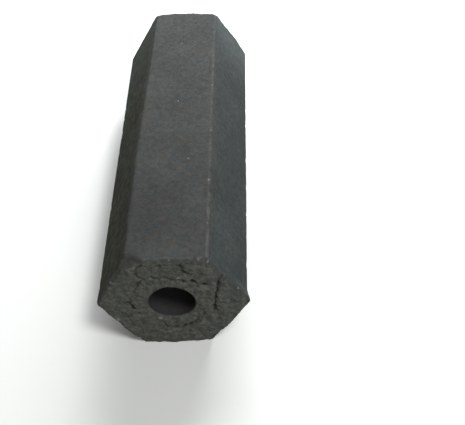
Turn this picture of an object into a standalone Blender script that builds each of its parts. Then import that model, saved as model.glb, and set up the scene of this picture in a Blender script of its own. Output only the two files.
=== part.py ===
"""A hexagonal charcoal briquette, made as the real one is: one solid, with nothing fitted to it.

Sawdust is pressed through a six-sided die round a mandrel, the bar is broken to length and then
carbonised whole. That gives six smooth pressed sides with softly rounded long edges, a round bore
from end to end, and two crumbly end faces. Each end face shows parts of a ring-shaped crack, where
the press laid one layer of sawdust over another, and its corners are chipped.

Metres, +Z up, +Y along the bore. The origin is the middle of the face that the briquette lies on.
"""

import math

import bpy
from mathutils import Vector, noise

MM = 0.001

# Driving dimensions
ACROSS_FLATS = 50 * MM
LENGTH = 154.6 * MM
BORE_RADIUS = 9 * MM
LONG_EDGE_RADIUS = 1.6 * MM
RIM_RADIUS = 0.8 * MM
BORE_RIM_RADIUS = 0.5 * MM

# The upper edge on the -X side is drawn out sideways towards the front, by up to this much along X
DRAWN_OUT = -1.5 * MM

# Worked out from them
APOTHEM = ACROSS_FLATS / 2
SIDE = ACROSS_FLATS / math.sqrt(3)
HALF_LENGTH = LENGTH / 2
AXIS = Vector((0, 0, APOTHEM))

# The end faces: how rough they are, and how deep along the bar their unevenness reaches
GRAIN_SIZE = 3.2 * MM
GRAIN_HEIGHT = 0.55 * MM
SWELL_SIZE = 19 * MM
SWELL_HEIGHT = 0.8 * MM
END_REACH = 8 * MM

# How far each end leans out of square: rise per metre towards +X, and per metre upwards
END_LEAN = {-1: (-0.02, -0.033), 1: (0.068, 0.0)}

# The ring-shaped crack between two layers of pressed sawdust
CRACK_RADIUS = 16.5 * MM
CRACK_WIDTH = 0.7 * MM
CRACK_DEPTH = 1.2 * MM
CRACK_WANDER = 1.4 * MM
CRACK_FADE = math.radians(12)

# Where the crack is open, in degrees round the axis from +X towards +Z: (from, to), for each end
CRACK_ARCS = {
    -1: ((-22, 44), (58, 92), (138, 166), (176, 192), (238, 306)),
    1: ((-60, 10), (32, 76), (112, 150), (196, 258)),
}

# Pieces broken off where the sides meet an end face, as scoops out of the rim:
# (end, degrees round the axis, share of the scoop that faces the end, depth, radius of the scoop)
CHIPS = (
    (-1, 62, 0.50, 0.7 * MM, 9 * MM),
    (-1, 120, 0.60, 2.6 * MM, 34 * MM),
    (-1, 209, 0.50, 0.4 * MM, 8 * MM),
    (-1, 234, 0.55, 0.5 * MM, 10 * MM),
    (-1, 300, 0.55, 0.5 * MM, 20 * MM),
    (-1, 19, 0.80, 1.5 * MM, 24 * MM),
    (1, 60, 0.55, 0.4 * MM, 8 * MM),
    (1, 131, 0.80, 1.2 * MM, 6 * MM),
    (1, 150, 0.80, 1.5 * MM, 28 * MM),
    (1, 181, 0.40, 0.9 * MM, 9 * MM),
    (1, 243, 0.55, 1.5 * MM, 22 * MM),
)
CHIP_BLEND = 0.35 * MM

# Lumps that stand out: (end, degrees round the axis, distance from it, share that faces the end,
# height, spread). The first two are the lip that one corner was drawn out into, and the third, below
# nought, is the shallow dish round the front mouth of the bore.
LUMPS = (
    (-1, 6, 28.5 * MM, 0.10, 1.3 * MM, 6 * MM),
    (-1, 338, 27 * MM, 0.50, 1.0 * MM, 8 * MM),
    (-1, 90, 9 * MM, 1.0, -0.5 * MM, 9 * MM),
    (1, 20, 26 * MM, 1.0, 1.1 * MM, 7 * MM),
    (1, 100, 25 * MM, 1.0, 1.9 * MM, 13 * MM),
)

# How finely the skin is divided
FLAT_STEPS = 13
LONG_EDGE_STEPS = 3
RIM_STEPS = 2
SIDE_STATIONS = [1.7 * MM, 2.8 * MM, 4.2 * MM, 6 * MM, 9 * MM, 15 * MM, 30 * MM, 52 * MM]
BORE_STATIONS = [2.5 * MM, 6 * MM, 16 * MM, 40 * MM]
ROUND_RINGS = [10.9 * MM, 12.4 * MM, 13.9 * MM, 15.1 * MM, 15.9 * MM]
OUTER_RINGS = [17.1 * MM, 18.0 * MM, 19.4 * MM, 20.9 * MM, 22.4 * MM]
MORPH_RADIUS = 17.5 * MM

NAME = "charcoal_briquette"


def clear_scene():
    for obj in list(bpy.data.objects):
        bpy.data.objects.remove(obj, do_unlink=True)


def smooth(value):
    """0 below 0, 1 above 1, and an S-curve between."""
    value = min(max(value, 0.0), 1.0)
    return value * value * (3 - 2 * value)


def polar(radius, angle):
    return radius * math.cos(angle), radius * math.sin(angle)


def outline():
    """The hexagon with its rounded edges, as (x, height above the axis, share of the drawn-out edge),
    going round from the edge at +X."""
    reach = SIDE - LONG_EDGE_RADIUS / math.cos(math.radians(30))
    arcs = []
    for corner in range(6):
        middle = math.radians(60 * corner)
        cx, cz = polar(reach, middle)
        arc = []
        for step in range(LONG_EDGE_STEPS + 1):
            turn = middle + math.radians(60 * step / LONG_EDGE_STEPS - 30)
            dx, dz = polar(LONG_EDGE_RADIUS, turn)
            arc.append((cx + dx, cz + dz, 1.0 if corner == 2 else 0.0))
        arcs.append(arc)
    points = []
    for corner, arc in enumerate(arcs):
        points += arc
        start, stop = arc[-1], arcs[(corner + 1) % 6][0]
        for step in range(1, FLAT_STEPS):
            points.append([a + (b - a) * step / FLAT_STEPS for a, b in zip(start, stop)])
    return points


def quarter_round(radius, steps):
    """(inset from the first face, inset from the second) along a quarter circle between two faces."""
    turns = [math.pi / 2 * step / steps for step in range(steps + 1)]
    return [(radius * (1 - math.sin(t)), radius * (1 - math.cos(t))) for t in turns]


def half_profile():
    """From the middle of the bore out over one end face to the middle of a side, as
    (ring radius, distance from the middle of the bar). A ring's radius is its distance from the axis
    to the middle of a flat."""
    bore_rim = quarter_round(BORE_RIM_RADIUS, RIM_STEPS)
    rim = quarter_round(RIM_RADIUS, RIM_STEPS)
    profile = [(BORE_RADIUS, HALF_LENGTH - depth) for depth in reversed(BORE_STATIONS)]
    profile += [(BORE_RADIUS + a, HALF_LENGTH - b) for b, a in bore_rim]
    profile += [(r, HALF_LENGTH) for r in ROUND_RINGS + [CRACK_RADIUS] + OUTER_RINGS]
    profile += [(APOTHEM - a, HALF_LENGTH - b) for a, b in rim]
    profile += [(APOTHEM, HALF_LENGTH - depth) for depth in SIDE_STATIONS]
    return profile


def ring_profile():
    """The closed section of the ring that the briquette is: out of the bore at the rear, along the
    sides to the front, and back through the bore. The middle of a side and of the bore get a station."""
    half = half_profile()
    front = [(radius, -y) for radius, y in reversed(half)]
    return half + [(APOTHEM, 0.0)] + front + [(BORE_RADIUS, 0.0)]


def crack_wander(angle, end):
    """How far the crack strays from its circle, the same at the start and the end of a turn."""
    x, z = polar(1.3, angle)
    return CRACK_WANDER * noise.noise(Vector((x, 4.0 * end, z)))


def crack_share(angle, end):
    """How open the crack is at this angle, from 0 to 1."""
    most = 0.0
    for start, stop in CRACK_ARCS[end]:
        middle = math.radians(start + stop) / 2
        half = math.radians(stop - start) / 2
        off = abs((angle - middle + math.pi) % math.tau - math.pi)
        most = max(most, smooth((half + CRACK_FADE - off) / (2 * CRACK_FADE)))
    return most


def end_height(x, z, end):
    """How far an end face stands out here: its lean, broad swells, grains and the ring crack. The
    grains fade towards the bore, whose rim the mandrel leaves clean."""
    radius, angle = math.hypot(x, z), math.atan2(z, x)
    here = Vector((x, 60 * MM * end, z))
    height = END_LEAN[end][0] * x + END_LEAN[end][1] * z
    height += SWELL_HEIGHT * noise.noise(here / SWELL_SIZE)
    grain_share = 0.3 + 0.7 * smooth((radius - BORE_RADIUS) / (3 * MM))
    height += grain_share * GRAIN_HEIGHT * noise.noise(here / GRAIN_SIZE)
    off = (radius - CRACK_RADIUS - crack_wander(angle, end)) / CRACK_WIDTH
    return height - CRACK_DEPTH * crack_share(angle, end) * math.exp(-off * off)


def outward(end, angle, facing):
    """The direction that looks out of the end by the given share, and out of the side by the rest."""
    side_x, side_z = polar(1 - facing, angle)
    return Vector((side_x, end * facing, side_z)).normalized()


def scoops():
    """(centre, radius) of the ball that takes each chip out of the rim."""
    found = []
    for end, degrees, facing, depth, radius in CHIPS:
        angle = math.radians(degrees)
        corner_off = (angle + math.pi / 6) % (math.pi / 3) - math.pi / 6
        x, z = polar(APOTHEM / math.cos(math.pi / 6 - abs(corner_off)), angle)
        rim = Vector((x, end * HALF_LENGTH, z))
        found.append((rim + outward(end, angle, facing) * (radius - depth), radius))
    return found


def lumps():
    """(centre, push, spread) of each lump."""
    found = []
    for end, degrees, distance, facing, height, spread in LUMPS:
        angle = math.radians(degrees)
        x, z = polar(distance, angle)
        centre = Vector((x, end * HALF_LENGTH, z))
        found.append((centre, outward(end, angle, facing) * height, spread))
    return found


def scooped(excess):
    """How far a point moves that is `excess` deep in a scoop, with the border of the cut worn round."""
    if abs(excess) < CHIP_BLEND:
        return (excess + CHIP_BLEND) ** 2 / (4 * CHIP_BLEND)
    return max(excess, 0.0)


def ring_point(flat_point, ring_radius, y):
    """A point of the smooth briquette, from its axis: rings are circles near the bore and become
    the hexagon towards the rim."""
    x, z, drawn = flat_point
    x += drawn * DRAWN_OUT * smooth((HALF_LENGTH - y) / (0.7 * LENGTH))
    angle = math.atan2(z, x)
    to_hexagon = math.hypot(x, z) / APOTHEM
    hexagonal = smooth((ring_radius - MORPH_RADIUS) / (APOTHEM - RIM_RADIUS - MORPH_RADIUS))
    near_crack = 1 - smooth(abs(ring_radius - CRACK_RADIUS) / (3 * CRACK_WIDTH))
    if abs(y) < HALF_LENGTH:
        near_crack = 0.0
    end = -1 if y < 0 else 1
    radius = ring_radius + near_crack * crack_wander(angle, end)
    radius *= 1 + hexagonal * (to_hexagon - 1)
    x, z = polar(radius, angle)
    return Vector((x, y, z))


def worn(point, raised, balls):
    """The point after the end face's unevenness, the lumps and the chips. The sides stay flat."""
    end = -1 if point.y < 0 else 1
    share = 1 - smooth((HALF_LENGTH - abs(point.y)) / END_REACH)
    moved = point.copy()
    if share > 0:
        moved.y += end * share * end_height(point.x, point.z, end)
        for centre, push, spread in raised:
            moved += push * share * math.exp(-((point - centre).length / spread) ** 2)
    for centre, radius in balls:
        away = moved - centre
        moved += away.normalized() * scooped(radius - away.length)
    return moved


def briquette():
    """The bar starts as a torus, which is what a bored bar is, and each vertex goes to its place."""
    around, profile, raised, balls = outline(), ring_profile(), lumps(), scoops()
    bpy.ops.mesh.primitive_torus_add(major_segments=len(around), minor_segments=len(profile))
    obj = bpy.context.object
    obj.name = obj.data.name = NAME
    for index, vertex in enumerate(obj.data.vertices):
        flat_point = around[index // len(profile)]
        ring_radius, y = profile[index % len(profile)]
        vertex.co = AXIS + worn(ring_point(flat_point, ring_radius, y), raised, balls)
    return obj


def charcoal():
    """Carbonised sawdust: almost black, with the dull grey bloom of a pressed and fired surface."""
    material = bpy.data.materials.new("charcoal")
    material.use_nodes = True
    shader = material.node_tree.nodes["Principled BSDF"]
    shader.inputs["Base Color"].default_value = (0.052, 0.054, 0.052, 1)
    shader.inputs["Roughness"].default_value = 0.72
    shader.inputs["Metallic"].default_value = 0.0
    return material


def main():
    clear_scene()
    group = bpy.data.collections.new("charcoal_briquette")
    bpy.context.scene.collection.children.link(group)
    obj = briquette()
    for old in list(obj.users_collection):
        old.objects.unlink(obj)
    group.objects.link(obj)
    obj.data.materials.append(charcoal())
    obj.data.shade_smooth()
    obj.data.set_sharp_from_angle(angle=math.radians(35))


main()
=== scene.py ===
"""The charcoal briquette as it looks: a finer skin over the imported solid, its materials, and the studio.

The skin follows the same formulas as the solid, and goes on below the size that the solid stops at:
crumbs, pits and hairline cracks in the broken ends, nicks along the pressed edges, and a slight
waviness of the pressed sides. Metres, +Z up, +Y along the bore, and the front end is the one at -Y.
"""

import math
import random

import bpy
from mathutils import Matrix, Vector, kdtree, noise


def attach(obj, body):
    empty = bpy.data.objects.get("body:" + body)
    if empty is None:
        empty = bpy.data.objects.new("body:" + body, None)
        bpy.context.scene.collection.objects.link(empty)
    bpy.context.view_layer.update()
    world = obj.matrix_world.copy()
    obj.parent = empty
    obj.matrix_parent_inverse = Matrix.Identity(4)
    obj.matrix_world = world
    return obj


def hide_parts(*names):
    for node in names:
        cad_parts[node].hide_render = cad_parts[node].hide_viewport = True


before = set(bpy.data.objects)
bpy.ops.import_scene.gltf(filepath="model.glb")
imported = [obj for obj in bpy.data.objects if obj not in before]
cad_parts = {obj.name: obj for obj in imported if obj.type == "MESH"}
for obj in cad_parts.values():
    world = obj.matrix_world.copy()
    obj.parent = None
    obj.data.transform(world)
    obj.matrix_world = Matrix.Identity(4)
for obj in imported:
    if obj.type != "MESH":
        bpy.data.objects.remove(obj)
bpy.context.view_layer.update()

MM = 0.001

# Driving dimensions, the same as the solid's
ACROSS_FLATS = 50 * MM
LENGTH = 154.6 * MM
BORE_RADIUS = 9 * MM
LONG_EDGE_RADIUS = 1.6 * MM
RIM_RADIUS = 0.8 * MM
BORE_RIM_RADIUS = 0.5 * MM

# The upper edge on the -X side is drawn out sideways towards the front, by up to this much along X,
# over this much of the length
DRAWN_OUT = -1.5 * MM
DRAWN_OUT_LENGTH = 0.7 * LENGTH

# Worked out from them
APOTHEM = ACROSS_FLATS / 2
SIDE = ACROSS_FLATS / math.sqrt(3)
HALF_LENGTH = LENGTH / 2
AXIS = Vector((0, 0, APOTHEM))

# How far the rounding takes the long edges and the rims back from their sharp places
EDGE_CUT_BACK = 0.155 * LONG_EDGE_RADIUS
RIM_CUT_BACK = 0.41 * RIM_RADIUS

# The rings of an end face are circles out to this radius, and turn into the hexagon towards the rim
ROUND_REACH = 14 * MM

# How deep along the bar the unevenness of the ends reaches, and how far each end leans out of
# square: rise per metre towards +X, and per metre upwards
END_REACH = 8 * MM
END_LEAN = {-1: (-0.02, -0.033), 1: (0.068, 0.0)}

# The broken ends: swells and grains as (size, height), then crumbs with clefts between them. The
# clefts are open in coarse patches, and both grains and clefts are lower within reach of the bore.
SWELL = (19 * MM, 0.8 * MM)
GRAINS = ((3.2 * MM, 0.55 * MM), (1.7 * MM, 0.27 * MM), (0.8 * MM, 0.14 * MM))
CRUMB_SIZE = 2.1 * MM
CLEFT_DEPTH = 0.22 * MM
COARSE_PATCH = 9 * MM
CALM_REACH = 3 * MM

# The tables of places are in millimetres and degrees.
# Cracks in the front end, each as a line of (x, height above the axis) points, its width and its
# depth. The first ones are what is left open of the ring between two layers of pressed sawdust.
FRONT_CRACKS = (
    (((17.0, 6.1), (16.6, 3.0), (16.4, -0.1), (16.1, -3.3)), 0.50, 1.5),
    (((19.4, 15.7), (18.4, 12.8), (17.6, 9.8), (17.0, 6.1)), 0.50, 1.5),
    (((12.1, -7.5), (9.4, -11.2), (6.7, -14.0), (3.6, -15.7)), 0.55, 1.2),
    (((3.6, -15.7), (1.0, -16.3), (-2.0, -15.4), (-3.7, -14.1)), 0.50, 0.9),
    (((-9.8, 13.5), (-11.9, 11.3), (-12.9, 8.7), (-13.9, 6.5)), 0.65, 0.8),
    (((-16.5, 0.4), (-15.7, -1.3), (-14.5, -3.1)), 0.50, 1.3),
    (((-9.7, 14.5), (-5.9, 14.8), (-3.5, 14.2), (-1.4, 14.7), (1.1, 13.0)), 0.45, 0.8),
    (((3.5, 13.4), (5.4, 12.8), (9.1, 12.8), (11.7, 11.0), (13.8, 9.9)), 0.50, 1.0),
    (((4.6, 21.4), (4.9, 19.0), (5.8, 17.3), (7.0, 15.5)), 0.65, 1.4),
    (((-9.0, 22.3), (-11.6, 20.6), (-12.3, 17.6), (-11.4, 15.2), (-9.7, 14.5)), 0.55, 1.0),
    (((25.4, 8.2), (26.2, 4.4), (26.3, 1.3), (25.5, -0.2)), 0.45, 0.6),
)

# The rear end's ring crack, as arcs in degrees round the axis, with its radius and how it strays
REAR_ARCS = ((-60, 10), (32, 76), (112, 150), (196, 258))
CRACK_RADIUS = 16.5 * MM
CRACK_WANDER = 1.4 * MM

# How all cracks vary: they tremble as (size, reach), their width swells as (size, share), and they
# close up here and there over stretches of this size
CRACK_TREMBLE = (1.9 * MM, 0.7 * MM)
CRACK_SWELLING = (2.6 * MM, 0.7)
CRACK_STRETCH = 3.5 * MM

# Pits in the front end that stand out: (x, height above the axis, radius, depth)
FRONT_PITS = (
    (16.0, -4.6, 0.9, 1.2), (8.8, 12.6, 0.8, 1.0), (5.0, 12.0, 0.7, 1.0), (-1.6, 14.6, 0.6, 0.8),
    (-3.3, 21.1, 0.7, 0.7), (-2.2, 24.2, 0.6, 0.7), (11.5, 21.6, 0.6, 0.6), (-6.9, 19.0, 0.6, 0.5),
    (12.6, 10.4, 0.7, 1.0), (9.9, 10.2, 0.6, 0.8), (17.8, -2.8, 0.6, 0.8), (-17.6, -8.8, 0.6, 0.6),
    (-12.7, -12.4, 0.5, 0.6), (-1.2, 21.7, 0.6, 0.7), (0.0, 16.7, 0.5, 0.6), (6.8, 16.8, 0.7, 0.9),
    (-14.6, -3.0, 0.6, 0.8),
)
PITS_EACH_END = 70

# Pieces broken off the rims, as on the solid: (end, degrees, share facing the end, depth, radius)
CHIPS = (
    (-1, 62, 0.50, 0.7, 9), (-1, 120, 0.60, 2.6, 34), (-1, 209, 0.50, 0.4, 8), (-1, 234, 0.55, 0.5, 10),
    (-1, 300, 0.55, 0.5, 20), (-1, 19, 0.80, 1.5, 24),
    (1, 60, 0.55, 0.4, 8), (1, 131, 0.80, 1.2, 6), (1, 150, 0.80, 1.5, 28),
    (1, 181, 0.40, 0.9, 9), (1, 243, 0.55, 1.5, 22),
)
CHIP_BLEND = 0.35 * MM

# Lumps that stand out, as on the solid: (end, degrees, distance from the axis, share facing the end,
# height, spread)
LUMPS = (
    (-1, 6, 28.5, 0.10, 1.3, 6),
    (-1, 338, 27, 0.50, 1.0, 8),
    (-1, 90, 9, 1.0, -0.5, 9),
    (1, 20, 26, 1.0, 1.1, 7),
    (1, 100, 25, 1.0, 1.9, 13),
)

# Crumbs lost along the rims and nicks along the long edges: how many, how deep in millimetres as
# (least, spread), and from which radius to which
NIBBLES_EACH_RIM = 60
NIBBLE_DEPTH = (0.03, 0.25)
NIBBLE_RADIUS = (1.0, 3.2)
NICKS_EACH_EDGE = 16
NICK_DEPTH = (0.10, 0.35)
NICK_RADIUS = (1.2, 3.5)

# How broken each part of the skin looks, apart from what is cut out of it
BROKEN_SHARE = {"end": 1.0, "bore rim": 0.8, "rim": 0.55}

# A cut this deep shows broken charcoal. One deeper than the facet's start begins to look like a worn
# facet, and does so in full where it is deeper by the rise as well.
BROKEN_CUT = 0.35 * MM
FACET_START = 0.15 * MM
FACET_RISE = 0.55 * MM

# What the pressed sides lie below their planes by: waves left by the die as (width, length, depth),
# and dimples as (size, depth)
SIDE_WAVE = (5 * MM, 38 * MM, 0.045 * MM)
SIDE_DIMPLE = (4 * MM, 0.03 * MM)

# How pale each long edge is painted, for wear and as a painted highlight, most of all on the upper edge on
# the +X side, going round from the edge at +X
EDGE_WEAR_AND_HIGHLIGHT = (0.4, 0.9, 0.15, 0.3, 0.4, 0.3)

# Flecks of ash and painted highlights on the upper side as (x, y, radius), those at x 14 being painted
# highlights along the upper +X edge, and on the front end as (x, height above the axis, radius), partly
# painted highlights on the rim
TOP_ASH_AND_HIGHLIGHTS = (
    (-1.0, 53.5, 0.5), (5.1, 54.5, 0.4), (5.5, -23.5, 0.6), (14.0, 43.8, 0.5), (14.0, 22.2, 0.5),
    (14.0, -7.2, 0.5), (14.0, -35.4, 0.6), (14.0, -58.8, 0.5),
)
END_ASH_AND_HIGHLIGHTS = (
    (-5.1, -9.3, 0.9), (-21.7, 12.6, 0.7), (-21.4, -9.4, 0.8), (11.2, 24.9, 0.6), (15.0, 23.9, 0.7),
    (0.8, 24.9, 0.6), (25.5, 7.2, 0.7), (3.3, 14.2, 0.9), (-16.6, -8.8, 0.6), (-14.4, -13.0, 0.6),
)

# Marks on the upper side: (x, y, radius, depth)
TOP_PITS = ((10.3, 32.1, 1.1, 0.5), (9.9, 24.0, 0.9, 0.3), (6.0, -40.1, 0.9, 0.3), (-12.5, 30.0, 0.9, 0.3))

# Colours: the pressed sides in general, on the +X side with a painted highlight at its rear, and on the -X
# side in painted reflected light, the worn edges with a painted highlight, the broken ends with the worn
# facet, the wall of the bore, the ash that also paints highlights, and the painted shade on all of them
COOL = (0.0270, 0.0315, 0.0328, 1)
WARM = (0.0363, 0.0340, 0.0315, 1)
NEUTRAL = (0.030, 0.032, 0.031, 1)
BROWN = (0.0345, 0.0325, 0.0275, 1)
TEAL = (0.0225, 0.0290, 0.0296, 1)
# Painted highlight: the paler colour at the rear of the +X side stands in for the light from behind
PAINTED_REAR_HIGHLIGHT = (0.0520, 0.0610, 0.0615, 1)
# Painted reflected light on the -X side: olive from its surroundings towards the front, greyer at the rear
PAINTED_REFLECTION_DARK = (0.0200, 0.0222, 0.0150, 1)
PAINTED_REFLECTION_OLIVE = (0.0395, 0.0412, 0.0290, 1)
PAINTED_REFLECTION_REAR = (0.0545, 0.0670, 0.0600, 1)
# Worn edges, and the painted highlight along them
WORN_AND_HIGHLIGHT = (0.056, 0.055, 0.053, 1)
CRUMB_DARK = (0.041, 0.043, 0.038, 1)
CRUMB = (0.077, 0.078, 0.070, 1)
NEUTRAL_END = (0.057, 0.061, 0.056, 1)
FACET = (0.038, 0.042, 0.037, 1)
BORE_DARK = (0.021, 0.022, 0.022, 1)
BORE = (0.032, 0.032, 0.031, 1)
# Ash, and the colour of the painted highlights on the rims and on the upper +X edge
ASH_AND_HIGHLIGHT = (0.30, 0.29, 0.27, 1)
# Painted shade: in the cracks and pits of the ends, in the pores, and in specks for small pits on the -X
# side
PAINTED_SHADE = (0.011, 0.011, 0.010, 1)

# Where the colours of the pressed sides, the painted highlight and the painted reflected light set in and
# where they are full, across along X, or lengthwise along Y. The pale wear and painted highlight of the
# long edges is full at the first place and gone at the second.
TEAL_ACROSS = (0.0142, 0.0175)
PAINTED_REAR_HIGHLIGHT_ACROSS = (0.0132, 0.0165)
PAINTED_REAR_HIGHLIGHT_ALONG = (0.040, 0.078)
OLIVE_ACROSS = (-0.0146, -0.0180)
PAINTED_REFLECTION_REAR_ALONG = (0.015, 0.078)
WEAR_AND_HIGHLIGHT_ALONG = (0.030, 0.066)

# The pores: one cell's width, a pore's radius, and the share of cells with one
PORES = (0.005, 0.00045, 0.16)

# How finely the skin is divided. The stations of the bore crowd towards its mouth, and the last one
# stops short of the rounded rim.
FLAT_STEPS = 49
LONG_EDGE_STEPS = 6
RIM_STEPS = 3
FACE_RINGS = 45
SIDE_STATIONS = 64
BORE_STATIONS = 22
BORE_CROWDING = 1.7
BORE_STOP = 0.4 * MM

# The lights as (name, place, width, power in watts, tone), the surroundings and the floor
LIGHTS = (
    ("back_light", (0.10, 0.56, 0.31), 0.60, 13.2, (0.97, 1.0, 1.0)),
    ("front_light", (0.24, -0.30, 0.68), 0.22, 4.4, (0.98, 1.0, 0.99)),
    ("low_light", (0.17, -0.72, 0.34), 0.40, 2.1, (1.0, 1.0, 0.98)),
)
WORLD_TONE = (0.95, 0.98, 1.0, 1.0)
WORLD_STRENGTH = 0.06
FLOOR_TONE = (0.60, 0.60, 0.59)
FLOOR_WIDTH = 5.0

# The camera's place, its turn about X, Y and Z in degrees, and its focal length in millimetres
CAMERA_PLACE = (0.02896, -0.25664, 0.27182)
CAMERA_TURN = (42.451, 1.167, 0.311)
CAMERA_LENS = 61.958


def smooth(value):
    """0 below 0, 1 above 1, and an S-curve between."""
    value = min(max(value, 0.0), 1.0)
    return value * value * (3 - 2 * value)


def polar(radius, angle):
    """(x, height above the axis) of a place this far from the axis, at this angle round it."""
    return radius * math.cos(angle), radius * math.sin(angle)


def outline():
    """The hexagon with its rounded edges, as (x, height above the axis, share of the drawn-out edge),
    going round from the edge at +X."""
    reach = SIDE - LONG_EDGE_RADIUS / math.cos(math.radians(30))
    arcs = []
    for corner in range(6):
        middle = math.radians(60 * corner)
        cx, cz = polar(reach, middle)
        arc = []
        for step in range(LONG_EDGE_STEPS + 1):
            turn = middle + math.radians(60 * step / LONG_EDGE_STEPS - 30)
            dx, dz = polar(LONG_EDGE_RADIUS, turn)
            arc.append((cx + dx, cz + dz, 1.0 if corner == 2 else 0.0))
        arcs.append(arc)
    points = []
    for corner, arc in enumerate(arcs):
        points += arc
        start, stop = arc[-1], arcs[(corner + 1) % 6][0]
        for step in range(1, FLAT_STEPS):
            points.append([a + (b - a) * step / FLAT_STEPS for a, b in zip(start, stop)])
    return points


def quarter_round(radius, steps):
    """(inset from the first face, inset from the second) along a quarter circle between two faces."""
    turns = [math.pi / 2 * step / steps for step in range(steps + 1)]
    return [(radius * (1 - math.sin(t)), radius * (1 - math.cos(t))) for t in turns]


def half_profile():
    """From the middle of the bore out over one end face to the middle of a side, as
    (part of the skin, ring radius, distance from the middle of the bar)."""
    mouth = HALF_LENGTH - BORE_RIM_RADIUS
    profile = []
    for step in range(1, BORE_STATIONS + 1):
        share = 1 - (1 - step / BORE_STATIONS) ** BORE_CROWDING
        profile.append(("bore", BORE_RADIUS, mouth * share - BORE_STOP))
    for from_end, from_wall in quarter_round(BORE_RIM_RADIUS, RIM_STEPS):
        profile.append(("bore rim", BORE_RADIUS + from_wall, HALF_LENGTH - from_end))
    first, last = BORE_RADIUS + BORE_RIM_RADIUS, APOTHEM - RIM_RADIUS
    for step in range(1, FACE_RINGS):
        profile.append(("end", first + (last - first) * step / FACE_RINGS, HALF_LENGTH))
    for from_side, from_end in quarter_round(RIM_RADIUS, RIM_STEPS):
        profile.append(("rim", APOTHEM - from_side, HALF_LENGTH - from_end))
    for step in range(1, SIDE_STATIONS):
        profile.append(("side", APOTHEM, (HALF_LENGTH - RIM_RADIUS) * (1 - step / SIDE_STATIONS)))
    return profile


def ring_profile():
    """The closed section of the ring that the briquette is, with a station at the middle of the side
    and of the bore."""
    half = half_profile()
    front = [(part, radius, -y) for part, radius, y in reversed(half)]
    return half + [("side", APOTHEM, 0.0)] + front + [("bore", BORE_RADIUS, 0.0)]


def drawn_out(y):
    """How far along X the drawn-out edge stands off its regular place."""
    return DRAWN_OUT * smooth((HALF_LENGTH - y) / DRAWN_OUT_LENGTH)


def skin_point(flat_point, ring_radius, y):
    """A point of the smooth briquette, from its axis: rings are circles at the bore and become the
    hexagon towards the rim."""
    x, z, drawn = flat_point
    x += drawn * drawn_out(y)
    to_hexagon = math.hypot(x, z) / APOTHEM
    hexagonal = smooth((ring_radius - ROUND_REACH) / (APOTHEM - RIM_RADIUS - ROUND_REACH))
    x, z = polar(ring_radius * (1 + hexagonal * (to_hexagon - 1)), math.atan2(z, x))
    return Vector((x, y, z))


def rear_cracks():
    """The rear end's ring crack as lines of points, straying from its circle as on the solid."""
    lines = []
    for start, stop in REAR_ARCS:
        line = []
        for degrees in range(start, stop + 1, 7):
            angle = math.radians(degrees)
            x, z = polar(1.3, angle)
            radius = CRACK_RADIUS + CRACK_WANDER * noise.noise(Vector((x, 4.0, z)))
            x, z = polar(radius / MM, angle)
            line.append((x, z))
        lines.append((line, 0.45, 1.2))
    return lines


def segments(cracks):
    """Every straight stretch of the cracks, as (start, along, squared length, width, depth)."""
    found = []
    for line, width, depth in cracks:
        for (x0, z0), (x1, z1) in zip(line, line[1:]):
            start = Vector((x0 * MM, z0 * MM))
            along = Vector((x1 * MM, z1 * MM)) - start
            found.append((start, along, along.length_squared, width * MM, depth * MM))
    return found


def crack_depth(x, z, stretches):
    """How deep the cracks are here."""
    size, reach = CRACK_TREMBLE
    tremble = Vector((x, 0.3, z)) / size
    here = Vector((x + reach * noise.noise(tremble), z + reach * noise.noise(tremble.yzx)))
    size, swelling = CRACK_SWELLING
    swollen = 1 + swelling * noise.noise(Vector((z, 0.5, x)) / size)
    deepest = 0.0
    for start, along, squared, width, depth in stretches:
        off = here - start
        share = min(max(off.dot(along) / squared, 0.0), 1.0)
        distance = (off - along * share).length / (width * swollen)
        if distance < 3:
            deepest = max(deepest, depth * math.exp(-distance * distance))
    open_share = 0.75 + 0.6 * noise.noise(Vector((x, 0.9, z)) / CRACK_STRETCH)
    return deepest * min(max(open_share, 0.25), 1.2)


def scattered_pits(end):
    """Small pits strewn over an end face, mostly near the ring crack."""
    chance = random.Random(31 + end)
    found = []
    for _ in range(PITS_EACH_END):
        radius = min(max(chance.gauss(17.5, 4.0), 10.5), 24.5)
        x, z = polar(radius, chance.uniform(0, math.tau))
        size = chance.uniform(0.3, 0.65)
        found.append((x, z, size, size * chance.uniform(0.6, 1.2)))
    return found


def pit_depth(x, z, pits):
    """How deep the pits are here."""
    deepest = 0.0
    for px, pz, radius, depth in pits:
        squared = ((x - px * MM) ** 2 + (z - pz * MM) ** 2) / (radius * MM) ** 2
        if squared < 6:
            deepest = max(deepest, depth * MM * math.exp(-squared))
    return deepest


def broad_height(x, z, end):
    """How far an end face stands out here by its lean and its swells."""
    here = Vector((x, 60 * MM * end, z))
    return END_LEAN[end][0] * x + END_LEAN[end][1] * z + SWELL[1] * noise.noise(here / SWELL[0])


def end_height(x, z, end):
    """How far an end face stands out here, without its cracks and pits."""
    here = Vector((x, 60 * MM * end, z))
    height = broad_height(x, z, end)
    grain_share = 0.3 + 0.7 * smooth((math.hypot(x, z) - BORE_RADIUS) / CALM_REACH)
    for size, rise in GRAINS:
        height += grain_share * rise * noise.noise(here / size)
    nearest, second = noise.voronoi(here / CRUMB_SIZE)[0][:2]
    coarse = smooth(0.5 + 1.6 * noise.noise(here / COARSE_PATCH))
    return height - grain_share * CLEFT_DEPTH * coarse * (1 - smooth((second - nearest) / 0.3))


def outward(end, angle, facing):
    """The direction that looks out of the end by the given share, and out of the side by the rest."""
    side_x, side_z = polar(1 - facing, angle)
    return Vector((side_x, end * facing, side_z)).normalized()


def rim_place(end, angle):
    """The point of the sharp rim at this angle round the axis, from the axis."""
    corner_off = (angle + math.pi / 6) % (math.pi / 3) - math.pi / 6
    x, z = polar(APOTHEM / math.cos(math.pi / 6 - abs(corner_off)), angle)
    return Vector((x, end * HALF_LENGTH, z))


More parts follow.
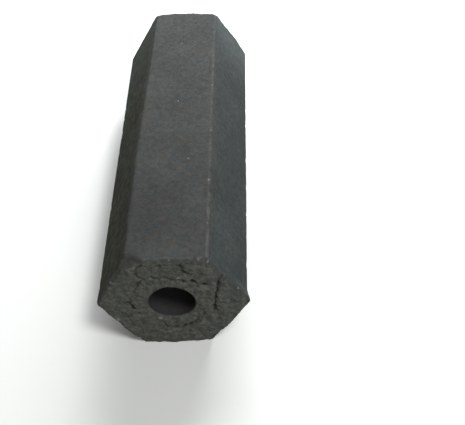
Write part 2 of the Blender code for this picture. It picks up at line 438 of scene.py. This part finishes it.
def scoop(place, direction, depth, radius):
    """(centre, radius) of a ball that cuts this deep into a place that looks in that direction."""
    return place + direction * (radius - depth), radius


def chip_scoops():
    """The chips of the solid."""
    found = []
    for end, degrees, facing, depth, radius in CHIPS:
        angle = math.radians(degrees)
        found.append(scoop(rim_place(end, angle), outward(end, angle, facing), depth * MM, radius * MM))
    return found


def chance_depth(chance, least, spread):
    """A depth that is mostly near the least one."""
    return (least + spread * chance.random() ** 2) * MM


def nibble_scoops():
    """Crumbs lost all along both rims, from where the lean, the swells and the lumps have taken them."""
    chance = random.Random(6)
    found = []
    for end in (-1, 1):
        for _ in range(NIBBLES_EACH_RIM):
            angle = chance.uniform(0, math.tau)
            depth = RIM_CUT_BACK + chance_depth(chance, *NIBBLE_DEPTH)
            direction = outward(end, angle, chance.uniform(0.35, 0.7))
            regular = rim_place(end, angle)
            place = raise_lumps(regular, end, 1.0)
            place.y += end * broad_height(regular.x, regular.z, end)
            found.append(scoop(place, direction, depth, chance.uniform(*NIBBLE_RADIUS) * MM))
    return found


def nick_scoops():
    """Small nicks along the six long edges."""
    chance = random.Random(19)
    found = []
    for corner in range(6):
        angle = math.radians(60 * corner)
        x, z = polar(SIDE - EDGE_CUT_BACK, angle)
        for _ in range(NICKS_EACH_EDGE):
            y = chance.uniform(-0.96, 0.96) * HALF_LENGTH
            place = Vector((x + (drawn_out(y) if corner == 2 else 0.0), y, z))
            turned = angle + math.radians(chance.uniform(-22, 22))
            depth = chance_depth(chance, *NICK_DEPTH)
            direction = outward(1, turned, 0.0)
            found.append(scoop(place, direction, depth, chance.uniform(*NICK_RADIUS) * MM))
    return found


def top_scoops():
    """The marks on the upper side."""
    up = Vector((0, 0, 1))
    found = []
    for x, y, radius, depth in TOP_PITS:
        found.append(scoop(Vector((x * MM, y * MM, APOTHEM)), up, depth * MM, radius * MM))
    return found


def scooped(excess):
    """How far a point moves that is `excess` deep in a scoop, with the border of the cut worn round."""
    if abs(excess) < CHIP_BLEND:
        return (excess + CHIP_BLEND) ** 2 / (4 * CHIP_BLEND)
    return max(excess, 0.0)


def take_scoops(points, balls):
    """Cuts the balls out of the points, and returns how deep each point was cut."""
    tree = kdtree.KDTree(len(points))
    for index, point in enumerate(points):
        tree.insert(point, index)
    tree.balance()
    cut = [0.0] * len(points)
    for centre, radius in balls:
        for _, index, _ in tree.find_range(centre, radius + CHIP_BLEND):
            away = points[index] - centre
            depth = scooped(radius - away.length)
            points[index] += away.normalized() * depth
            cut[index] += depth
    return cut


def raise_lumps(point, end, share):
    """The point moved by this share of the lumps of the solid."""
    moved = point.copy()
    for lump_end, degrees, distance, facing, height, spread in LUMPS:
        if lump_end == end:
            angle = math.radians(degrees)
            x, z = polar(distance * MM, angle)
            off = (point - Vector((x, end * HALF_LENGTH, z))).length / (spread * MM)
            moved += outward(end, angle, facing) * (height * MM * share * math.exp(-off * off))
    return moved


def side_dip(point):
    """How far a pressed side lies below its plane, never above it."""
    width, length, wave_depth = SIDE_WAVE
    size, dimple_depth = SIDE_DIMPLE
    stretched = Vector((point.x / width, point.y / length, point.z / width))
    return wave_depth * (1 + noise.noise(stretched)) + dimple_depth * (1 + noise.noise(point / size))


def skin_place(flat_point, station, stretches, pits):
    """A point of the skin before anything is cut out of it, and how deep in a crack or pit it lies."""
    part, ring_radius, y = station
    point = skin_point(flat_point, ring_radius, y)
    end = -1 if y < 0 else 1
    share = 1 - smooth((HALF_LENGTH - abs(y)) / END_REACH)
    hollow = 0.0
    if part in ("end", "rim", "bore rim"):
        hollow = crack_depth(point.x, point.z, stretches[end])
        hollow += pit_depth(point.x, point.z, pits[end])
        hollow *= 1.0 if part == "end" else 0.5
    if share > 0:
        height = end_height(point.x, point.z, end)
        point = raise_lumps(point, end, share)
        point.y += end * (share * height - hollow)
    if part == "side":
        inward = Vector((point.x, 0, point.z)).normalized()
        point -= inward * side_dip(point) * (1 - share)
    return point, hollow


def shape_skin():
    """Every point of the skin, and beside each what the material needs to know about it: how broken it
    looks, how deep in a crack or pit it lies, how pale a long edge is painted there for wear and as a
    painted highlight, whether it is on the wall of the bore, and how much it lies where a large piece has
    broken off."""
    around, profile = outline(), ring_profile()
    stretches = {-1: segments(FRONT_CRACKS), 1: segments(rear_cracks())}
    pits = {-1: FRONT_PITS + tuple(scattered_pits(-1)), 1: scattered_pits(1)}
    points = []
    marks = {"broken": [], "hollow": [], "edge": [], "bore": [], "facet": []}
    for index, flat_point in enumerate(around):
        corner, step = divmod(index, FLAT_STEPS + LONG_EDGE_STEPS)
        on_edge = max(1 - abs(2 * step / LONG_EDGE_STEPS - 1) ** 3, 0.0)
        for station in profile:
            part = station[0]
            point, hollow = skin_place(flat_point, station, stretches, pits)
            points.append(point)
            marks["broken"].append(BROKEN_SHARE.get(part, 0.0))
            marks["hollow"].append(hollow / MM)
            marks["edge"].append(on_edge * EDGE_WEAR_AND_HIGHLIGHT[corner] if part == "side" else 0.0)
            marks["bore"].append(1.0 if part == "bore" else 0.0)
    cut = take_scoops(points, chip_scoops() + nibble_scoops() + nick_scoops() + top_scoops())
    for index, depth in enumerate(cut):
        marks["broken"][index] = max(marks["broken"][index], 0.7 * smooth(depth / BROKEN_CUT))
        marks["facet"].append(smooth((depth - FACET_START) / FACET_RISE))
    return points, marks, len(around), len(profile)


def make_skin():
    """The skin as one closed mesh whose faces look outward, with its marks as point attributes."""
    points, marks, turns, rings = shape_skin()
    faces = []
    for turn in range(turns):
        after = (turn + 1) % turns
        for ring in range(rings):
            following = (ring + 1) % rings
            faces.append((turn * rings + ring, after * rings + ring,
                          after * rings + following, turn * rings + following))
    mesh = bpy.data.meshes.new("briquette_skin")
    mesh.from_pydata([point + AXIS for point in points], [], faces)
    for name, values in marks.items():
        mesh.attributes.new(name, "FLOAT", "POINT").data.foreach_set("value", values)
    mesh.shade_smooth()
    mesh.validate()
    obj = bpy.data.objects.new("briquette_skin", mesh)
    bpy.context.scene.collection.objects.link(obj)
    return obj


class Tree:
    """A short way to write a material's nodes: most methods add some and give their output."""

    def __init__(self, material):
        material.use_nodes = True
        self.tree = material.node_tree
        self.shader = self.tree.nodes["Principled BSDF"]
        self.place = self.add("ShaderNodeTexCoord").outputs["Object"]

    def add(self, kind, inputs=(), **settings):
        """One node, with these inputs and settings."""
        node = self.tree.nodes.new(kind)
        for name, value in settings.items():
            setattr(node, name, value)
        for name, value in dict(inputs).items():
            self.feed(node.inputs[name], value)
        return node

    def feed(self, socket, value):
        """Links another node's output to the socket, or sets the socket to a plain value."""
        if isinstance(value, bpy.types.NodeSocket):
            self.tree.links.new(value, socket)
        else:
            socket.default_value = value

    def mark(self, name):
        """What the skin's points say under this name."""
        return self.add("ShaderNodeAttribute", attribute_name=name).outputs["Fac"]

    def noise(self, size, detail=3.0, roughness=0.55, place=None):
        """Noise from 0 to 1 whose features are about this size, in metres."""
        node = self.add("ShaderNodeTexNoise", {"Vector": place or self.place, "Scale": 1 / size,
                                               "Detail": detail, "Roughness": roughness})
        return node.outputs["Fac"]

    def ramp(self, value, low, high, start=0.0, stop=1.0):
        """Goes from start to stop as the value goes from low to high."""
        node = self.add("ShaderNodeMapRange", {"Value": value, "From Min": low, "From Max": high,
                                               "To Min": start, "To Max": stop},
                        interpolation_type="SMOOTHSTEP")
        return node.outputs["Result"]

    def math(self, operation, first, second):
        node = self.add("ShaderNodeMath", operation=operation)
        self.feed(node.inputs[0], first)
        self.feed(node.inputs[1], second)
        return node.outputs[0]

    def mix(self, share, first, second, blend="MIX"):
        """Between two colours."""
        node = self.add("ShaderNodeMix", data_type="RGBA", blend_type=blend)
        self.feed(node.inputs["Factor"], share)
        self.feed(node.inputs["A"], first)
        self.feed(node.inputs["B"], second)
        return node.outputs["Result"]

    def shaded(self, tone, value, amount):
        """The colour made darker and lighter by this share as the value goes from low to high."""
        grey = self.ramp(value, 0.3, 0.7, 1 - amount, 1 + amount)
        factor = self.add("ShaderNodeCombineColor", {"Red": grey, "Green": grey, "Blue": grey})
        return self.mix(1.0, tone, factor.outputs[0], "MULTIPLY")

    def specks(self, cell, size, kept):
        """1 in the middle of a few cells and 0 elsewhere: kept is the share of the cells with one."""
        cells = self.add("ShaderNodeTexVoronoi", {"Vector": self.place, "Scale": 1 / cell})
        parts = self.add("ShaderNodeSeparateColor", {"Color": cells.outputs["Color"]})
        chosen = self.ramp(parts.outputs[0], 1 - kept, 1 - kept + 0.02)
        near = self.ramp(cells.outputs["Distance"], size / cell, 0.5 * size / cell)
        return self.math("MULTIPLY", chosen, near)


def ash_and_highlight_places(skin):
    """(middle, radius) of each fleck of ash and each painted highlight, at the nearest point of the skin.
    """
    tree = kdtree.KDTree(len(skin.data.vertices))
    for vertex in skin.data.vertices:
        tree.insert(vertex.co, vertex.index)
    tree.balance()
    wanted = [(Vector((x * MM, y * MM, ACROSS_FLATS)), radius * MM) for x, y, radius in TOP_ASH_AND_HIGHLIGHTS]
    for x, z, radius in END_ASH_AND_HIGHLIGHTS:
        y = -HALF_LENGTH - broad_height(x * MM, z * MM, -1)
        wanted.append((Vector((x * MM, y, z * MM)) + AXIS, radius * MM))
    return [(tree.find(place)[0], radius) for place, radius in wanted]


def painted_reflection_tone(t, axes):
    """The -X side in painted reflected light: mottled olive, greyer towards the rear, with specks of
    painted shade for small pits.
    """
    painted_reflection = t.mix(t.ramp(t.noise(0.003, 3, 0.7), 0.38, 0.62), PAINTED_REFLECTION_DARK, PAINTED_REFLECTION_OLIVE)
    painted_reflection = t.mix(t.ramp(axes["Y"], *PAINTED_REFLECTION_REAR_ALONG, 0.0, 0.8), painted_reflection, PAINTED_REFLECTION_REAR)
    # Specks of painted shade for small pits
    return t.mix(t.math("MULTIPLY", t.specks(0.004, 0.0009, 0.25), 0.6), painted_reflection, PAINTED_SHADE)


def pressed_tone(t, axes, edge):
    """The pressed sides: blue-grey and brownish mottling, bluer on the +X side with a painted highlight at
    its rear, painted reflected light in olive on the -X side, a paler line along the long edges for wear
    and a painted highlight, specks of ash, and painted shade in the pores."""
    side = t.mix(t.ramp(t.noise(0.0036, 4, 0.72), 0.36, 0.64), COOL, WARM)
    side = t.mix(t.ramp(t.noise(0.009, 3, 0.6), 0.38, 0.62, 0.1, 0.7), side, NEUTRAL)
    side = t.mix(t.ramp(axes["X"], *TEAL_ACROSS, 0.0, 0.55), side, TEAL)
    # Painted highlight towards the rear of the +X side
    painted_highlight = t.math("MULTIPLY", t.ramp(axes["X"], *PAINTED_REAR_HIGHLIGHT_ACROSS), t.ramp(axes["Y"], *PAINTED_REAR_HIGHLIGHT_ALONG))
    side = t.mix(painted_highlight, side, PAINTED_REAR_HIGHLIGHT)
    # The -X side in painted reflected light
    side = t.mix(t.ramp(axes["X"], *OLIVE_ACROSS), side, painted_reflection_tone(t, axes))
    side = t.mix(t.ramp(t.noise(0.0042, 3, 0.7), 0.50, 0.66, 0.0, 0.35), side, BROWN)
    side = t.shaded(side, t.noise(0.0017, 3, 0.7), 0.17)
    side = t.shaded(side, t.noise(0.022, 3, 0.55), 0.14)
    # Pale line along the long edges: wear, and a painted highlight, mostly on the upper +X edge
    worn_and_highlight = t.math("MULTIPLY", edge, t.ramp(t.noise(0.007, 4, 0.65), 0.42, 0.60, 0.0, 0.85))
    worn_and_highlight = t.math("MULTIPLY", worn_and_highlight, t.ramp(axes["Y"], *WEAR_AND_HIGHLIGHT_ALONG, 1.0, 0.0))
    side = t.mix(worn_and_highlight, side, WORN_AND_HIGHLIGHT)
    side = t.mix(t.specks(0.007, 0.0003, 0.12), side, ASH_AND_HIGHLIGHT)
    # Painted shade in the pores
    return t.mix(t.specks(*PORES), side, PAINTED_SHADE)


def broken_tone(t, hollow, facet):
    """Broken charcoal: greener, crumbly mottling, duller on a worn facet, with specks of ash, and with
    painted shade in the cracks and pits."""
    end = t.mix(t.ramp(t.noise(0.0021, 4, 0.6), 0.34, 0.66), CRUMB_DARK, CRUMB)
    end = t.mix(t.ramp(t.noise(0.006, 2, 0.5), 0.35, 0.68, 0.0, 0.5), end, NEUTRAL_END)
    end = t.mix(t.math("MULTIPLY", facet, 0.8), end, FACET)
    end = t.shaded(end, t.noise(0.0009, 3, 0.75), 0.20)
    end = t.mix(t.specks(0.0034, 0.0003, 0.10), end, ASH_AND_HIGHLIGHT)
    # Painted shade in the cracks and pits, darker where they are deeper
    return t.mix(t.ramp(hollow, 0.15, 1.3, 0.0, 0.8), end, PAINTED_SHADE)


def with_ash_and_highlights(t, body, skin):
    """The colour with the flecks of ash and the painted highlights on it, the smaller ones fainter."""
    for place, radius in ash_and_highlight_places(skin):
        off = t.add("ShaderNodeVectorMath", operation="DISTANCE")
        t.feed(off.inputs[0], t.place)
        t.feed(off.inputs[1], place)
        ash_and_highlight = t.ramp(off.outputs["Value"], 1.3 * radius, 0.0, 0.0, 0.4 * radius / MM)
        body = t.mix(ash_and_highlight, body, ASH_AND_HIGHLIGHT)
    return body


def dullness(t, axes, broken, bore):
    """Roughness: the pressed sides gleam faintly, the -X side less, and what is broken hardly at all."""
    side = t.ramp(t.noise(0.002, 4, 0.6), 0.3, 0.7, 0.52, 0.68)
    side = t.math("ADD", side, t.ramp(axes["X"], *OLIVE_ACROSS, 0.0, 0.20))
    return t.math("MAXIMUM", side, t.math("MULTIPLY", t.math("MAXIMUM", broken, bore), 0.92))


def fine_relief(t, broken, facet):
    """The height in metres of what is too fine for the skin: grain, streaks from the die, and pores."""
    grain = t.math("MULTIPLY", t.noise(0.0007, 4, 0.65), t.ramp(broken, 0.0, 1.0, 0.00011, 0.00032))
    grain = t.math("MULTIPLY", grain, t.ramp(facet, 0.0, 1.0, 1.0, 0.6))
    along = t.add("ShaderNodeMapping", {"Vector": t.place, "Scale": (1.0, 0.06, 1.0)}).outputs["Vector"]
    streaks = t.math("MULTIPLY", t.noise(0.0012, 2, 0.5, along), t.ramp(broken, 0.0, 1.0, 0.00006, 0.0))
    pores = t.math("MULTIPLY", t.specks(*PORES), -0.0003)
    return t.math("ADD", t.math("ADD", grain, streaks), pores)


def charcoal(skin):
    """Pressed and fired sawdust, which is pressed, broken or the wall of the bore as the marks say."""
    material = bpy.data.materials.new("charcoal_skin")
    t = Tree(material)
    broken, bore, facet = t.mark("broken"), t.mark("bore"), t.mark("facet")
    axes = t.add("ShaderNodeSeparateXYZ", {"Vector": t.place}).outputs
    pressed = pressed_tone(t, axes, t.mark("edge"))
    body = t.mix(broken, pressed, broken_tone(t, t.mark("hollow"), facet))
    wall = t.mix(t.noise(0.003, 3, 0.6), BORE_DARK, BORE)
    body = with_ash_and_highlights(t, t.mix(bore, body, wall), skin)
    relief = {"Height": fine_relief(t, broken, facet), "Strength": 1.0, "Distance": 1.0}
    t.feed(t.shader.inputs["Base Color"], body)
    t.feed(t.shader.inputs["Roughness"], dullness(t, axes, broken, bore))
    t.feed(t.shader.inputs["Normal"], t.add("ShaderNodeBump", relief).outputs["Normal"])
    t.shader.inputs["Specular IOR Level"].default_value = 0.03
    return material


def plain_material(name, tone, roughness):
    """One colour all over."""
    material = bpy.data.materials.new(name)
    material.use_nodes = True
    shader = material.node_tree.nodes["Principled BSDF"]
    shader.inputs["Base Color"].default_value = (*tone, 1.0)
    shader.inputs["Roughness"].default_value = roughness
    shader.inputs["Specular IOR Level"].default_value = 0.2
    return material


def make_floor():
    half = FLOOR_WIDTH / 2
    corners = [(-half, -half, 0), (half, -half, 0), (half, half, 0), (-half, half, 0)]
    mesh = bpy.data.meshes.new("floor")
    mesh.from_pydata(corners, [], [(0, 1, 2, 3)])
    mesh.materials.append(plain_material("pale_floor", FLOOR_TONE, 0.8))
    floor = bpy.data.objects.new("floor", mesh)
    bpy.context.scene.collection.objects.link(floor)


def area_light(name, place, width, power, tone):
    """A round soft light that looks at the middle of the briquette."""
    data = bpy.data.lights.new(name, "AREA")
    data.shape = "DISK"
    data.size = width
    data.energy = power
    data.color = tone
    light = bpy.data.objects.new(name, data)
    light.location = place
    light.rotation_euler = (AXIS - light.location).to_track_quat("-Z", "Y").to_euler()
    bpy.context.scene.collection.objects.link(light)


def make_studio():
    make_floor()
    for light in LIGHTS:
        area_light(*light)
    world = bpy.data.worlds.new("studio")
    world.use_nodes = True
    background = world.node_tree.nodes["Background"]
    background.inputs["Color"].default_value = WORLD_TONE
    background.inputs["Strength"].default_value = WORLD_STRENGTH
    bpy.context.scene.world = world
    bpy.context.scene.view_settings.view_transform = "Standard"


def make_camera():
    data = bpy.data.cameras.new("camera")
    data.sensor_width = 36.0
    data.lens = CAMERA_LENS
    data.clip_start = 0.01
    camera = bpy.data.objects.new("camera", data)
    camera.location = CAMERA_PLACE
    camera.rotation_euler = [math.radians(turn) for turn in CAMERA_TURN]
    bpy.context.scene.collection.objects.link(camera)
    bpy.context.scene.camera = camera


def main():
    make_camera()
    make_studio()
    skin = make_skin()
    skin.data.materials.append(charcoal(skin))
    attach(skin, "root")
    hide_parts("charcoal_briquette")


main()
